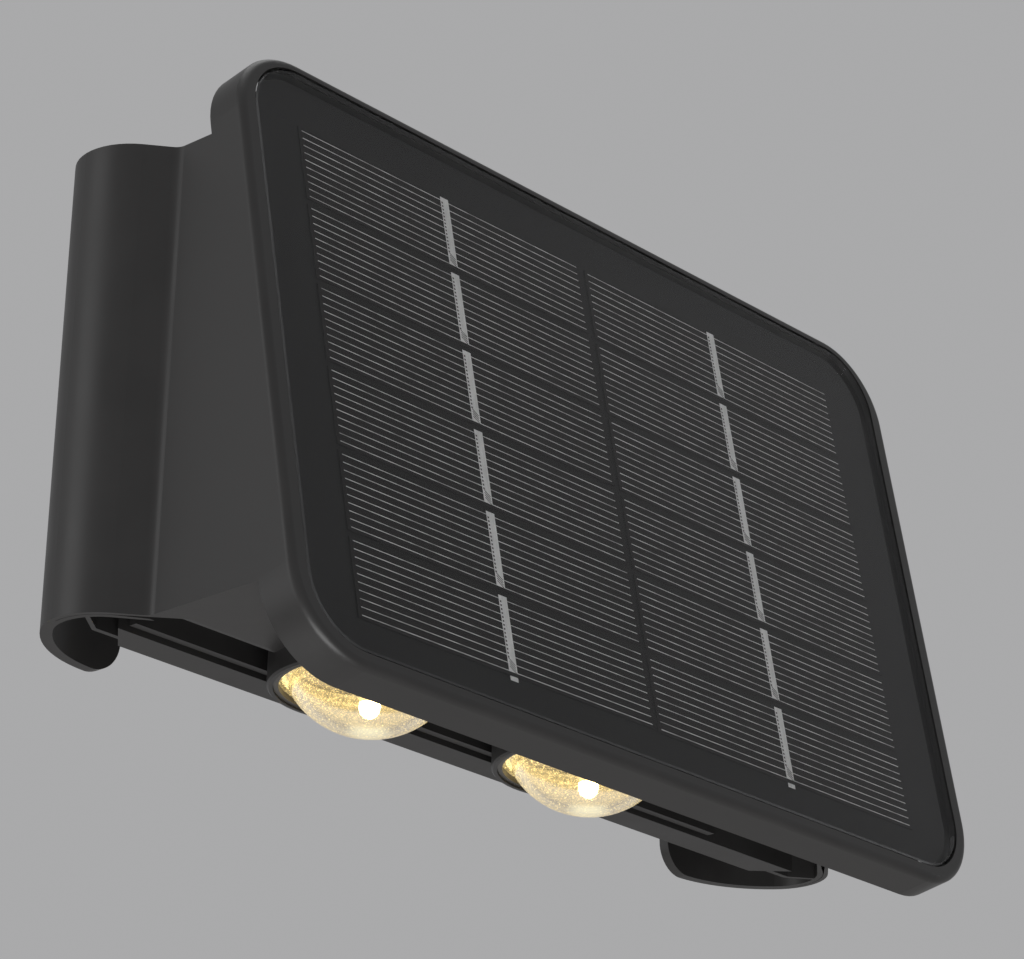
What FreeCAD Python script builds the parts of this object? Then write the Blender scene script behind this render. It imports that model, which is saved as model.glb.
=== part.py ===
"""Solar fence light: a wedge housing with a tilted solar panel in front, two downward lamps below and
a rear cover whose curled side hooks slide over a fence board.

Millimetres. The origin is the middle of the rear face that lies against the fence. X points to the
right seen from the front, Y into the fence and Z up.
"""
import FreeCAD, Part
import math
import os
import re
import Sketcher
from FreeCAD import Placement, Rotation, Vector

SIZES = {
    # Housing: a wedge with a stepped-in neck behind it
    "bodyWidth": 154.0,
    "bodyHeight": 73.6,
    "wallThick": 2.2,
    "creaseDepth": 12.8,
    "creaseRound": 2.0,
    "rearRound": 3.4,
    "neckStep": 4.5,
    "neckInset": 2.0,
    "neckWall": 2.5,
    "ridgeLeft": 75.0,
    "ridgeRight": 53.0,
    "ridgeWidth": 1.4,
    "ridgeStart": 6.3,
    "ridgeDrop": 3.9,
    # Panel: its glass face passes through a point before and above the origin
    "panelTilt": 11.5,
    "panelSetback": 33.3,
    "panelRise": 2.8,
    "glassWidth": 147.6,
    "glassHeight": 98.0,
    "glassCorner": 10.0,
    "glassThick": 2.0,
    "glassChamfer": 0.25,
    "glassSeam": 0.3,
    "lipTop": 1.9,
    "lipBottom": 2.7,
    "bezelDepth": 6.7,
    "bezelCorner": 13.0,
    "bezelRound": 1.2,
    "floorThick": 2.2,
    # Two columns of cells behind the glass
    "cellWidth": 63.0,
    "cellHeight": 13.1,
    "cellThick": 0.2,
    "rowPitch": 14.03,
    "columnGap": 1.0,
    "cellsDrop": 1.0,
    "ribbonWidth": 1.8,
    "ribbonThick": 0.1,
    "ribbonLength": 12.7,
    "ribbonRise": 0.25,
    "layerGap": 0.05,
    "backingThick": 1.0,
    "backingInset": 0.8,
    "tapeWidth": 6.0,
    # Lamp cups under the housing; the pair stands left of the middle
    "cupRadius": 15.0,
    "cupWall": 0.9,
    "cupDrop": 3.3,
    "cupTop": 5.3,
    "cupSetback": 21.05,
    "cupSpacing": 47.9,
    "cupShift": 17.35,
    "cupChamfer": 0.3,
    "seatDepth": 3.2,
    "boardSeatRadius": 13.2,
    "boardSeatDepth": 1.7,
    "wireHoleRadius": 2.5,
    "lensRadius": 11.8,
    "lensDrop": 6.6,
    "flangeThick": 1.95,
    "pocketRadius": 4.2,
    "pocketFloor": 1.6,
    "fitGap": 0.05,
    "ringWidth": 0.75,
    "ringThick": 0.9,
    "ledBoardThick": 1.2,
    "ledSide": 5.0,
    "ledThick": 1.0,
    "emitterRadius": 2.0,
    "emitterThick": 0.5,
    # Rear cover and its hooks: a side arc runs on into a flatter back arc and a straight flange
    "coverThick": 5.5,
    "coverCut": 4.9,
    "coverInset": 0.6,
    "sealThick": 0.5,
    "hookReach": 7.85,
    "hookDepth": 12.0,
    "hookWall": 1.8,
    "sideRadius": 9.45,
    "sideSet": 2.0,
    "backRadius": 20.4,
    "flangeReach": 14.7,
    "flangeCorner": 5.3,
    "skinThick": 0.75,
    "skinGap": 0.1,
    "skinOverlap": 4.0,
    "hookSeam": 0.8,
    "layerShort": 1.0,
    "webThick": 0.9,
    "webSet": 2.1,
    "webBend": 2.9,
    "webReach": 7.3,
    "webSlant": 3.4,
    # Cover screws and their posts
    "screwMargin": 11.0,
    "screwInset": 14.3,
    "postSide": 7.5,
    "pilotRadius": 1.5,
    "pilotDepth": 10.5,
    "screwRadius": 1.45,
    "screwLength": 9.0,
    "screwHeadRadius": 2.8,
    "screwHeadThick": 2.0,
    "headSink": 2.6,
    "headGap": 0.4,
    # Battery along the housing, in its cradle on the cover
    "batteryRadius": 9.1,
    "batteryLength": 64.0,
    "batteryMargin": 2.0,
    "batteryDepth": 16.6,
    "batteryDrop": 3.0,
    "capRadius": 3.0,
    "capHeight": 1.0,
    "crimpDepth": 0.6,
    "crimpWidth": 1.6,
    "cradleWall": 1.8,
    "cradleGap": 0.25,
    "cradleRise": 2.5,
    "contactSide": 9.0,
    "contactThick": 0.4,
    # Control board on posts of the cover
    "boardMargin": 3.0,
    "boardWidth": 50.0,
    "boardHeight": 30.0,
    "boardThick": 1.6,
    "boardStand": 4.0,
    "boardHoleEdge": 3.5,
    "boardHoleRadius": 1.2,
    "boardPostSide": 5.6,
    "boardScrewRadius": 1.0,
    "boardScrewHead": 2.0,
    "boardScrewHeadThick": 1.3,
    "boardScrewLength": 5.0,
    # What stands on the board's front
    "chipWidth": 6.0,
    "chipHeight": 5.0,
    "chipThick": 1.6,
    "chargerWidth": 5.0,
    "chargerHeight": 4.0,
    "socketWidth": 5.0,
    "socketHeight": 6.0,
    "socketThick": 5.5,
    "coilRadius": 3.5,
    "coilHeight": 4.0,
    "capacitorRadius": 3.0,
    "capacitorHeight": 6.5,
    "smallRadius": 2.0,
    "smallHeight": 5.0,
    "socketEdge": 9.0,
    "coilEdge": 17.0,
    "partRise": 5.5,
    # Push button in the underside, at the right, behind the panel's lower edge
    "buttonMargin": 31.0,
    "buttonSetback": 27.0,
    "buttonRadius": 4.5,
    "buttonGap": 0.3,
    "buttonDrop": 1.4,
    "buttonFlange": 1.1,
    "buttonFlangeThick": 0.8,
    "buttonEdge": 0.6,
    "buttonTravel": 1.5,
    "stemRadius": 1.8,
    "stemLength": 3.5,
    "switchSide": 8.4,
    "switchHeight": 9.0,
    "switchClear": 0.4,
    "earThick": 1.0,
    "ribThick": 1.6,
}

ROWS = 6

doc = FreeCAD.newDocument("fence_light")
sizes = doc.addObject("Spreadsheet::Sheet", "sizes")
for row, (alias, number) in enumerate(SIZES.items(), 1):
    sizes.set(f"A{row}", alias)
    sizes.set(f"B{row}", str(number))
    sizes.setAlias(f"B{row}", alias)
doc.recompute()

parts = []

# Formulas that several pieces share, written in the sheet's names
UNDERSIDE = "(-bodyHeight / 2)"
NECK_REAR = "(coverThick + sealThick)"
CUP_RIM = "(-bodyHeight / 2 - cupDrop)"
RECESS_DEPTH = "(bezelDepth - floorThick)"
BEZEL_HEIGHT = "(glassHeight + lipTop + lipBottom)"
BEZEL_CENTRE = "((lipTop - lipBottom) / 2)"
BACKING_FRONT = "(glassThick + ribbonThick + cellThick + 4 * layerGap)"
CAVITY_SIDE = "(bodyWidth / 2 - neckInset - neckWall)"
SCREW_X = "(bodyWidth / 2 - screwMargin)"
SCREW_Z = "(bodyHeight / 2 - screwInset)"
CUP_BORE = "(cupRadius - cupWall)"
BOARD_LOW = "(seatDepth + boardSeatDepth - ledBoardThick)"
FLANGE_TOP = "(seatDepth - fitGap)"
CUPS = {
    "left": "(-cupShift - cupSpacing / 2)",
    "right": "(-cupShift + cupSpacing / 2)",
}
# Left hook: centre of its side arc, level of its back arc's centre, and its free edge
SIDE_X = "(-bodyWidth / 2 - hookReach + sideRadius)"
SIDE_Y = "(-sideSet)"
BACK_Y = "(hookDepth - backRadius)"
FREE_EDGE = "(-bodyWidth / 2 + flangeReach)"
# Battery at the left wall of the cavity, control board at the right one
CRADLE_LENGTH = "(batteryLength + capHeight + 2 * (contactThick + cradleGap))"
BATTERY_X = f"(-{CAVITY_SIDE} + batteryMargin + cradleWall + {CRADLE_LENGTH} / 2 - capHeight / 2)"
BATTERY_Y = "-batteryDepth"
BOARD_X = f"({CAVITY_SIDE} - boardMargin - boardWidth / 2)"
BOARD_FRONT = "(coverThick + boardStand + boardThick)"
# Button and switch, from the housing's lower wall upwards
BUTTON_X = "(bodyWidth / 2 - buttonMargin)"
WALL_TOP = "(-bodyHeight / 2 + wallThick)"
BUTTON_FLANGE_LOW = f"({WALL_TOP} + layerGap)"
SWITCH_LOW = f"({BUTTON_FLANGE_LOW} + buttonFlangeThick + buttonTravel + switchClear)"
SWITCH_EARS = f"({SWITCH_LOW} + switchHeight / 2)"
RIB_REACH = "(buttonRadius + buttonFlange + switchClear + ribThick / 2)"


def panel_y(z, depth):
    """Formula for Y, at height z, of the plane that lies this deep behind the glass's face."""
    tilt = "panelTilt * 1 deg"
    return f"(-panelSetback + ({z} - panelRise) * tan({tilt}) + ({depth}) / cos({tilt}))"


def bound(formula):
    """The formula with each of the sheet's names led by the name of the sheet."""
    return re.sub(r"\b([a-z]+[A-Z]\w*)", r"sizes.\1", formula)


def value(formula):
    """Number that a formula comes to."""
    return float(sizes.evalExpression(bound(formula)))


def near(first, second):
    return abs(first - second) < 0.001


def place(item, x="0", y="0", z="0"):
    """Bind an object's position to formulas."""
    for axis, formula in (("x", x), ("y", y), ("z", z)):
        item.setExpression(f"Placement.Base.{axis}", bound(formula))


def lean(item, prop):
    """Give a placement property the seat and tilt of the panel's face."""
    setattr(item, prop, Placement(Vector(0, 0, 0), Rotation(Vector(1, 0, 0), 1)))
    item.setExpression(f"{prop}.Base.y", bound("-panelSetback"))
    item.setExpression(f"{prop}.Base.z", bound("panelRise"))
    item.setExpression(f"{prop}.Rotation.Angle", bound("90 - panelTilt"))


def new_body(name, listed=True):
    body = doc.addObject("PartDesign::Body", name)
    body.Label = name
    if listed:
        parts.append(body)
    return body


def new_group(name, members):
    """Node of several like pieces."""
    group = doc.addObject("Part::Compound", name)
    group.Label = name
    group.Links = members
    parts.append(group)


def origin_plane(body, role):
    return next(feature for feature in body.Origin.OriginFeatures if feature.Role == role)


def new_sketch(body, name, role, offset="0"):
    """Sketch on one of the body's own planes, moved along the plane's normal."""
    sketch = body.newObject("Sketcher::SketchObject", name)
    sketch.AttachmentSupport = [(origin_plane(body, role), "")]
    sketch.MapMode = "FlatFace"
    sketch.setExpression("AttachmentOffset.Base.z", bound(offset))
    return sketch


def panel_sketch(body, name):
    """Sketch in the plane of the glass's face, its own Y running up the slope."""
    sketch = body.newObject("Sketcher::SketchObject", name)
    sketch.AttachmentSupport = [(origin_plane(body, "XY_Plane"), "")]
    sketch.MapMode = "FlatFace"
    lean(sketch, "AttachmentOffset")
    return sketch


def hold(sketch, kind, *where, formula):
    """Add a constraint whose number is a formula."""
    index = sketch.addConstraint(Sketcher.Constraint(kind, *where, value(formula)))
    sketch.setExpression(f"Constraints[{index}]", bound(formula))


def hold_point(sketch, geometry, point, x, y):
    hold(sketch, "DistanceX", -1, 1, geometry, point, formula=x)
    hold(sketch, "DistanceY", -1, 1, geometry, point, formula=y)


def polygon(sketch, corners):
    """Closed outline of straight edges; each corner is a pair of formulas."""
    points = [Vector(value(x), value(y), 0) for x, y in corners]
    lines = [sketch.addGeometry(Part.LineSegment(start, end))
             for start, end in zip(points, points[1:] + points[:1])]
    for line, before, (x, y) in zip(lines, lines[-1:] + lines[:-1], corners):
        sketch.addConstraint(Sketcher.Constraint("Coincident", before, 2, line, 1))
        hold_point(sketch, line, 1, x, y)


def rectangle(sketch, x, y, width, height):
    """Rectangle about a centre."""
    left, right = f"{x} - ({width}) / 2", f"{x} + ({width}) / 2"
    low, high = f"{y} - ({height}) / 2", f"{y} + ({height}) / 2"
    polygon(sketch, [(left, low), (right, low), (right, high), (left, high)])


def rounded_rectangle(sketch, x, y, width, height, radius):
    """Rectangle about a centre, with round corners."""
    reach_x, reach_y = f"(({width}) / 2 - {radius})", f"(({height}) / 2 - {radius})"
    arcs = []
    for quarter, (side, level) in enumerate(((1, 1), (-1, 1), (-1, -1), (1, -1))):
        centre_x, centre_y = f"{x} + ({side}) * {reach_x}", f"{y} + ({level}) * {reach_y}"
        centre = Vector(value(centre_x), value(centre_y), 0)
        circle_at = Part.Circle(centre, Vector(0, 0, 1), value(radius))
        start = quarter * math.pi / 2
        arcs.append(sketch.addGeometry(Part.ArcOfCircle(circle_at, start, start + math.pi / 2)))
        hold_point(sketch, arcs[-1], 3, centre_x, centre_y)
        hold(sketch, "Radius", arcs[-1], formula=radius)
    for arc, following in zip(arcs, arcs[1:] + arcs[:1]):
        ends_of_arcs = (sketch.getPoint(arc, 2), sketch.getPoint(following, 1))
        line = sketch.addGeometry(Part.LineSegment(*ends_of_arcs))
        sketch.addConstraint(Sketcher.Constraint("Tangent", arc, 2, line, 1))
        sketch.addConstraint(Sketcher.Constraint("Tangent", line, 2, following, 1))


def circle(sketch, x, y, radius):
    centre = Vector(value(x), value(y), 0)
    index = sketch.addGeometry(Part.Circle(centre, Vector(0, 0, 1), value(radius)))
    hold_point(sketch, index, 3, x, y)
    hold(sketch, "Radius", index, formula=radius)


def extrude(kind, body, sketch, length, side="One side", reverse=False):
    feature = body.newObject(f"PartDesign::{kind}", f"{sketch.Label}_{kind.lower()}")
    feature.Profile = sketch
    feature.SideType = side
    feature.Reversed = reverse
    feature.setExpression("Length", bound(length))
    body.Tip = feature
    return feature


def pad(body, sketch, length, **options):
    return extrude("Pad", body, sketch, length, **options)


def pocket(body, sketch, length, **options):
    return extrude("Pocket", body, sketch, length, **options)


def revolve(body, sketch, axis="V_Axis"):
    feature = body.newObject("PartDesign::Revolution", f"{sketch.Label}_turned")
    feature.Profile = sketch
    feature.ReferenceAxis = (sketch, [axis])
    feature.Angle = 360
    body.Tip = feature
    return feature


def mirror(body, feature, role):
    copy = body.newObject("PartDesign::Mirrored", f"{feature.Label}_mirrored")
    copy.Originals = [feature]
    copy.MirrorPlane = (origin_plane(body, role), [""])
    body.Tip = copy
    return copy


def dress(kind, body, prop, size, test):
    """Fillet or chamfer the edges of the body that pass a test."""
    doc.recompute()
    base = body.Tip
    names = [f"Edge{n}" for n, edge in enumerate(base.Shape.Edges, 1) if test(edge)]
    if not names:
        raise ValueError(f"{body.Label}: no edge to {kind.lower()}")
    feature = body.newObject(f"PartDesign::{kind}", f"{body.Label}_{kind.lower()}")
    feature.Base = (base, names)
    feature.setExpression(prop, bound(size))
    body.Tip = feature
    return feature


def fillet(body, size, test):
    return dress("Fillet", body, "Radius", size, test)


def chamfer(body, size, test):
    return dress("Chamfer", body, "Size", size, test)


def ends(edge):
    return [vertex.Point for vertex in edge.Vertexes]


def along(edge, axis):
    """Whether a straight edge runs along a direction."""
    points = ends(edge)
    if len(points) < 2 or not isinstance(edge.Curve, Part.Line):
        return False
    return near((points[1] - points[0]).normalize().cross(axis).Length, 0)


def panel_points(edge):
    """An edge's ends and middle as the panel's own x, y and z."""
    seat = Placement(Vector(0, -value("panelSetback"), value("panelRise")),
                     Rotation(Vector(1, 0, 0), 90 - value("panelTilt")))
    middle = edge.valueAt((edge.FirstParameter + edge.LastParameter) / 2)
    return [seat.inverse().multVec(point) for point in ends(edge) + [middle]]


def touch_angle(x, y, centre_x, centre_y, radius):
    """Angle at which the left-hand tangent from a point touches a circle."""
    gap = math.hypot(x - centre_x, y - centre_y)
    return math.atan2(y - centre_y, x - centre_x) + 2 * math.pi - math.acos(radius / gap)


# The left hook's outline, at any depth inside its outer face ----------------------------------------


def seam_angle(depth):
    """Polar angle of the seam between housing and cover, about the hook's side centre."""
    return math.pi - math.asin((value("-hookSeam") - value(SIDE_Y)) / value(f"sideRadius - {depth}"))


def side_arc(sketch, depth, start, end):
    radius = f"(sideRadius - {depth})"
    centre = Vector(value(SIDE_X), value(SIDE_Y), 0)
    arc = Part.ArcOfCircle(Part.Circle(centre, Vector(0, 0, 1), value(radius)), start, end)
    index = sketch.addGeometry(arc)
    hold_point(sketch, index, 3, SIDE_X, SIDE_Y)
    hold(sketch, "Radius", index, formula=radius)
    return index


def front_angle(depth, x, y):
    """Polar angle at which the side arc meets its straight run to a point."""
    return touch_angle(value(x), value(y), value(SIDE_X), value(SIDE_Y), value(f"sideRadius - {depth}"))


def front_run(sketch, arc, x, y):
    """Straight run from the side arc's front end to a held point."""
    line = sketch.addGeometry(Part.LineSegment(sketch.getPoint(arc, 2), Vector(value(x), value(y), 0)))
    sketch.addConstraint(Sketcher.Constraint("Tangent", arc, 2, line, 1))
    hold_point(sketch, line, 2, x, y)
    return line


def back_angle():
    """Polar angle at which the side arc passes into the back arc."""
    return math.pi - math.asin(value(f"({SIDE_Y} - {BACK_Y}) / (backRadius - sideRadius)"))


def back_run(sketch, arc, depth):
    """Back arc in line with the side arc's rear end, and the straight flange to its free edge."""
    turn, radius = back_angle(), value(f"backRadius - {depth}")
    gap = value("backRadius - sideRadius")
    centre = Vector(value(SIDE_X) - gap * math.cos(turn), value(BACK_Y), 0)
    whole = Part.Circle(centre, Vector(0, 0, 1), radius)
    back = sketch.addGeometry(Part.ArcOfCircle(whole, math.pi / 2, turn))
    hold(sketch, "DistanceY", -1, 1, back, 3, formula=BACK_Y)
    hold(sketch, "Radius", back, formula=f"(backRadius - {depth})")
    sketch.addConstraint(Sketcher.Constraint("Tangent", arc, 1, back, 2))
    end = Vector(value(FREE_EDGE), value(f"hookDepth - {depth}"), 0)
    line = sketch.addGeometry(Part.LineSegment(sketch.getPoint(back, 1), end))
    sketch.addConstraint(Sketcher.Constraint("Tangent", back, 1, line, 1))
    hold_point(sketch, line, 2, FREE_EDGE, f"hookDepth - {depth}")
    return line


def join(sketch, first, first_end, second, second_end):
    """Straight line between the ends of two curves."""
    points = (sketch.getPoint(first, first_end), sketch.getPoint(second, second_end))
    line = sketch.addGeometry(Part.LineSegment(*points))
    sketch.addConstraint(Sketcher.Constraint("Coincident", first, first_end, line, 1))
    sketch.addConstraint(Sketcher.Constraint("Coincident", second, second_end, line, 2))
    return line


# Front housing --------------------------------------------------------------------------------------


def side_skins(body):
    """Thin skin from each side's crease out over the front of the hook, down to the seam."""
    skin = new_sketch(body, "hook_skin", "XY_Plane")
    outer_x, inner_x, tail_y = "-bodyWidth / 2", "-bodyWidth / 2 + skinThick", "-creaseDepth - skinOverlap"
    arcs, tails = [], []
    for depth, x in (("0", outer_x), ("skinThick", inner_x)):
        arc = side_arc(skin, depth, seam_angle(depth), front_angle(depth, x, "-creaseDepth"))
        hold(skin, "DistanceY", -1, 1, arc, 1, formula="-hookSeam")
        line = front_run(skin, arc, x, "-creaseDepth")
        tail = skin.addGeometry(Part.LineSegment(skin.getPoint(line, 2), Vector(value(x), value(tail_y), 0)))
        skin.addConstraint(Sketcher.Constraint("Coincident", line, 2, tail, 1))
        hold_point(skin, tail, 2, x, tail_y)
        arcs.append(arc)
        tails.append(tail)
    join(skin, arcs[0], 1, arcs[1], 1)
    join(skin, tails[0], 2, tails[1], 2)
    mirror(body, pad(body, skin, "bodyHeight", side="Symmetric"), "YZ_Plane")


def wedge(body):
    """Closed wedge with rounded rear edges, and the skins at its sides."""
    half = "bodyHeight / 2"
    outline = new_sketch(body, "wedge_side", "YZ_Plane")
    polygon(outline, [("-creaseDepth", f"-{half}"), ("-creaseDepth", half),
                      (panel_y(half, "bezelDepth / 2"), half),
                      (panel_y(f"-{half}", "bezelDepth / 2"), f"-{half}")])
    pad(body, outline, "bodyWidth", side="Symmetric")
    rear_y, half_x, half_z = -value("creaseDepth"), value("bodyWidth / 2"), value(half)
    side_skins(body)
    fillet(body, "rearRound", lambda edge: along(edge, Vector(1, 0, 0))
           and all(near(point.y, rear_y) and near(abs(point.z), half_z) for point in ends(edge))
           and edge.Length > half_x)
    fillet(body, "creaseRound", lambda edge: along(edge, Vector(0, 0, 1))
           and all(near(point.y, rear_y) and near(abs(point.x), half_x) for point in ends(edge)))


def hollow(body):
    """Neck behind the wedge, and the cavity through both."""
    neck = new_sketch(body, "neck", "XZ_Plane", NECK_REAR)
    rectangle(neck, "0", "0", "bodyWidth - 2 * neckInset", "bodyHeight - 2 * neckStep")
    pad(body, neck, f"creaseDepth + wallThick - {NECK_REAR}")
    tub = new_sketch(body, "tub_side", "YZ_Plane")
    inner = "(bodyHeight / 2 - wallThick)"
    polygon(tub, [("-creaseDepth - wallThick", f"-{inner}"), ("-creaseDepth - wallThick", inner),
                  (panel_y(inner, "0"), inner), (panel_y(f"-{inner}", "0"), f"-{inner}")])
    pocket(body, tub, "bodyWidth - 2 * wallThick", side="Symmetric")
    mouth = new_sketch(body, "neck_mouth", "XZ_Plane", NECK_REAR)
    rectangle(mouth, "0", "0", f"2 * {CAVITY_SIDE}", "bodyHeight - 2 * (neckStep + neckWall)")
    pocket(body, mouth, f"creaseDepth + 2 * wallThick - {NECK_REAR}", reverse=True)

    ridge = new_sketch(body, "neck_ridge", "XY_Plane", "-bodyHeight / 2 + neckStep - ridgeDrop")
    rectangle(ridge, "(ridgeRight - ridgeLeft) / 2", "-ridgeStart - ridgeWidth / 2",
              "ridgeLeft + ridgeRight", "ridgeWidth")
    mirror(body, pad(body, ridge, "ridgeDrop + neckWall / 2"), "XY_Plane")


def bezel(body):
    """Slab with round corners that closes the wedge's front, before the panel's recess is cut."""
    outline = panel_sketch(body, "bezel")
    rectangle(outline, "0", BEZEL_CENTRE, "bodyWidth", BEZEL_HEIGHT)
    pad(body, outline, "bezelDepth", reverse=True)
    half_x = value("bodyWidth / 2")
    high = value(f"{BEZEL_CENTRE} + {BEZEL_HEIGHT} / 2")
    low = value(f"{BEZEL_CENTRE} - {BEZEL_HEIGHT} / 2")
    fillet(body, "bezelCorner", lambda edge: all(
        near(abs(point.x), half_x) and (near(point.y, high) or near(point.y, low))
        for point in panel_points(edge)))
    fillet(body, "bezelRound", lambda edge: all(near(point.z, 0) for point in panel_points(edge)))


def posts(body):
    """Square posts for the cover's screws, from the neck's mouth to the back of the bezel's floor."""
    for name, level in (("upper", SCREW_Z), ("lower", f"-{SCREW_Z}")):
        outline = new_sketch(body, f"{name}_posts", "XZ_Plane", NECK_REAR)
        for x in (f"-{SCREW_X}", SCREW_X):
            rectangle(outline, x, level, "postSide", "postSide")
        pad(body, outline, f"-{panel_y(level, 'bezelDepth - floorThick / 2')} - {NECK_REAR}")
    pilots = new_sketch(body, "pilots", "XZ_Plane", NECK_REAR)
    for x, z in screw_places():
        circle(pilots, x, z, "pilotRadius")
    pocket(body, pilots, "pilotDepth", reverse=True)


def cups(body):
    """Two round cups through the underside, each bored for lens, board and wires."""
    outline = new_sketch(body, "cups", "XY_Plane", CUP_RIM)
    for x in CUPS.values():
        circle(outline, x, "-cupSetback", "cupRadius")
    pad(body, outline, "cupDrop + cupTop")
    rim_z = value(CUP_RIM)
    chamfer(body, "cupChamfer", lambda edge: all(near(point.z, rim_z) for point in ends(edge))
           and isinstance(edge.Curve, Part.Circle))
    for name, radius, depth in (("lens_seats", CUP_BORE, "seatDepth"),
                                ("board_seats", "boardSeatRadius", "seatDepth + boardSeatDepth"),
                                ("wire_holes", "wireHoleRadius", "cupDrop + cupTop + wallThick")):
        bores = new_sketch(body, name, "XY_Plane", CUP_RIM)
        for x in CUPS.values():
            circle(bores, x, "-cupSetback", radius)
        pocket(body, bores, depth, reverse=True)


def button_well(body):
    """Hole for the button, between the two ribs that carry its switch."""
    ribs = new_sketch(body, "switch_ribs", "XY_Plane", UNDERSIDE)
    for side in ("-1", "1"):
        rectangle(ribs, f"{BUTTON_X} + ({side}) * {RIB_REACH}", "-buttonSetback", "ribThick", "switchSide")
    pad(body, ribs, f"{SWITCH_EARS} + bodyHeight / 2")
    hole = new_sketch(body, "button_hole", "XY_Plane", UNDERSIDE)
    circle(hole, BUTTON_X, "-buttonSetback", "buttonRadius + buttonGap")
    pocket(body, hole, "wallThick", reverse=True)


def front_housing():
    body = new_body("front_housing")
    wedge(body)
    hollow(body)
    bezel(body)
    posts(body)
    cups(body)
    button_well(body)
    recess = panel_sketch(body, "panel_recess")
    rounded_rectangle(recess, "0", "0", "glassWidth + 2 * glassSeam", "glassHeight + 2 * glassSeam",
                      "(glassCorner + glassSeam)")
    pocket(body, recess, RECESS_DEPTH)
    passage = panel_sketch(body, "wire_passage")
    circle(passage, "0", "0", "wireHoleRadius")
    pocket(body, passage, "bezelDepth + wallThick")


# Rear cover with its hooks --------------------------------------------------------------------------


def screw_places():
    """Formulas for the four cover screws."""
    return [(x, z) for x in (f"-{SCREW_X}", SCREW_X) for z in (SCREW_Z, f"-{SCREW_Z}")]


def hooks(body):
    """Both hooks: a layer inside the housing's skin, then the full wall behind the seam, and a web."""
    hook = new_sketch(body, "hook", "XY_Plane")
    depth, near_y = "(skinThick + skinGap)", "-creaseDepth + layerShort"
    layer_x, inner_x = f"-bodyWidth / 2 + {depth}", "-bodyWidth / 2 + hookWall"
    layer = side_arc(hook, depth, seam_angle(depth), front_angle(depth, layer_x, near_y))
    hold(hook, "DistanceY", -1, 1, layer, 1, formula="-hookSeam")
    layer_run = front_run(hook, layer, layer_x, near_y)
    inner = side_arc(hook, "hookWall", back_angle(), front_angle("hookWall", inner_x, near_y))
    inner_run = front_run(hook, inner, inner_x, near_y)
    outer = side_arc(hook, "0", back_angle(), seam_angle("0"))
    hold(hook, "DistanceY", -1, 1, outer, 2, formula="-hookSeam")
    join(hook, layer_run, 2, inner_run, 2)
    join(hook, outer, 2, layer, 1)
    join(hook, back_run(hook, outer, "0"), 2, back_run(hook, inner, "hookWall"), 2)
    mirror(body, pad(body, hook, "bodyHeight", side="Symmetric"), "YZ_Plane")

    web = new_sketch(body, "hook_web", "XY_Plane")
    root, bend, end = f"{SIDE_X} + webReach", f"{SIDE_X} - webBend", f"{SIDE_X} - webReach"
    polygon(web, [(root, "-webSet"), (bend, "-webSet"), (end, "-webSet - webSlant"),
                  (end, "-webSet - webSlant - webThick"), (bend, "-webSet - webThick"),
                  (root, "-webSet - webThick")])
    mirror(body, pad(body, web, "bodyHeight", side="Symmetric"), "YZ_Plane")

    edge_x, edge_z = abs(value(FREE_EDGE)), value("bodyHeight / 2")
    fillet(body, "flangeCorner", lambda e: along(e, Vector(0, 1, 0)) and all(
        near(abs(point.x), edge_x) and near(abs(point.z), edge_z) for point in ends(e)))


def rear_cover():
    body = new_body("rear_cover")
    plate = new_sketch(body, "plate", "XY_Plane")
    polygon(plate, [("-bodyWidth / 2 + coverInset", "-coverThick"),
                    ("bodyWidth / 2 - coverInset", "-coverThick"),
                    ("bodyWidth / 2 - coverInset - coverCut", "0"),
                    ("-bodyWidth / 2 + coverInset + coverCut", "0")])
    pad(body, plate, "bodyHeight", side="Symmetric")
    hooks(body)

    shanks = new_sketch(body, "screw_holes", "XZ_Plane")
    heads = new_sketch(body, "screw_heads", "XZ_Plane")
    for x, z in screw_places():
        circle(shanks, x, z, "screwRadius + headGap / 2")
        circle(heads, x, z, "screwHeadRadius + headGap")
    pocket(body, shanks, "coverThick", reverse=True)
    pocket(body, heads, "headSink", reverse=True)

    stands = new_sketch(body, "board_stands", "XZ_Plane", "coverThick")
    drills = new_sketch(body, "board_pilots", "XZ_Plane", "(coverThick + boardStand)")
    for x, z in board_corners():
        rectangle(stands, x, z, "boardPostSide", "boardPostSide")
        circle(drills, x, z, "boardScrewRadius + fitGap")
    pad(body, stands, "boardStand")
    pocket(body, drills, "boardScrewLength")


def board_corners():
    """Formulas for the control board's two screws, in opposite corners."""
    reach_x, reach_z = "(boardWidth / 2 - boardHoleEdge)", "(boardHeight / 2 - boardHoleEdge)"
    return [(f"{BOARD_X} + ({side}) * {reach_x}", f"({-side}) * {reach_z}") for side in (-1, 1)]


def screws(name, places, seat_y, radius, length, head_radius, head_thick, head_side):
    """Group of like screws along Y: the head's inner face at seat_y, the shank pointing away from it."""
    solids = []
    for number, (x, z) in enumerate(places, 1):
        shank = doc.addObject("Part::Cylinder", f"{name}_shank_{number}")
        head = doc.addObject("Part::Cylinder", f"{name}_head_{number}")
        for piece, size_radius, size_length, way in ((shank, radius, length, -head_side),
                                                     (head, head_radius, head_thick, head_side)):
            piece.setExpression("Radius", bound(size_radius))
            piece.setExpression("Height", bound(size_length))
            piece.Placement = Placement(Vector(0, 0, 0), Rotation(Vector(1, 0, 0), -90 * way))
            place(piece, x, seat_y, z)
        screw = doc.addObject("Part::Fuse", f"{name}_{number}")
        screw.Base = shank
        screw.Tool = head
        solids.append(screw)
    new_group(name, solids)


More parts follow.
